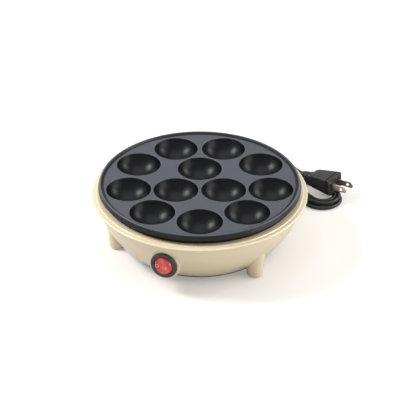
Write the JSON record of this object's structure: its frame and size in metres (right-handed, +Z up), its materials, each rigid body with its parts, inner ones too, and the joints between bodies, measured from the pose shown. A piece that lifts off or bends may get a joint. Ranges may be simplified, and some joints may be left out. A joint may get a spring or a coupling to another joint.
{
  "type": "takoyaki maker",
  "caption": "Round table-top takoyaki maker: a lift-off dark cast plate with hemispherical pits on a cream moulded base with a red rocker switch and a folded mains cord.",
  "frame": {"origin": "centre of the base's footprint on the table, on the axis of the round plate, at the level of the soles of the three feet", "axes": "+Z up out of the cooking plate; -Y towards the user, where the rocker switch faces; +X to the user's right"},
  "size_m": [0.2348, 0.2794, 0.0685],
  "materials": {
    "plate_coating": "cast aluminium with a dark non-stick coating: grey and finely textured on the field, near-black and smoother in the pits",
    "casing_plastic": "cream heat-resistant moulding, semi-gloss",
    "pan_sheet": "aluminised steel sheet, dull",
    "screw_steel": "zinc-plated",
    "heater_sheath": "dark oxidised sheath",
    "white_ceramic": "unglazed, matt",
    "black_bakelite": "matt moulding",
    "cover_paint": "matt black baked paint",
    "foot_rubber": "matt",
    "bezel_plastic": "satin black moulding",
    "rocker_plastic": "translucent red, glossy, with white marks",
    "lamp_glass": "small neon lamp, clear",
    "brass": "bright",
    "wire_black": "insulated wire",
    "wire_white": "insulated wire",
    "wire_red": "insulated wire",
    "wire_blue": "insulated wire",
    "cord_vinyl": "satin black vinyl sheath",
    "plug_vinyl": "satin black moulded vinyl",
    "tie_plastic": "black coated tie"
  },
  "bodies": {
    "base": {"casing": "casing_plastic", "reflector_pan": "pan_sheet", "pan_screws": "screw_steel", "heater_tube": "heater_sheath", "heater_clips": "pan_sheet", "heater_insulators": "white_ceramic", "heater_pins": "screw_steel", "thermostat": "black_bakelite", "thermostat_rivets": "screw_steel", "thermal_fuse": "white_ceramic", "fuse_clip": "pan_sheet", "bottom_cover": "cover_paint", "cover_screws": "screw_steel", "rubber_feet": "foot_rubber", "switch_bezel": "bezel_plastic", "switch_lamp": "lamp_glass", "switch_terminals": "brass", "live_wire": "wire_black", "switched_wire": "wire_red", "fused_wire": "wire_white", "neutral_wire": "wire_white", "lamp_wire": "wire_blue", "cord_inner": "cord_vinyl", "cord_clamp": "black_bakelite", "clamp_screws": "screw_steel", "cord_gland": "cord_vinyl", "cord_lead": "cord_vinyl", "cord_hank": "cord_vinyl", "cord_tie": "tie_plastic", "cord_tail": "cord_vinyl", "plug_relief": "plug_vinyl", "plug_body": "plug_vinyl", "plug_blades": "brass"},
    "plate": {"cooking_plate": "plate_coating"},
    "rocker": {"switch_rocker": "rocker_plastic"}
  },
  "joints": [
    {"name": "plate_lift", "type": "slide", "parent": "base", "child": "plate", "axis": [0, 0, 1], "range_m": [0, 0.06]},
    {"name": "rocker_tilt", "type": "hinge", "parent": "base", "child": "rocker", "pos_m": [0, -0.098, 0.031], "axis": [0, 0, 1], "range_deg": [0, 22]}
  ]
}
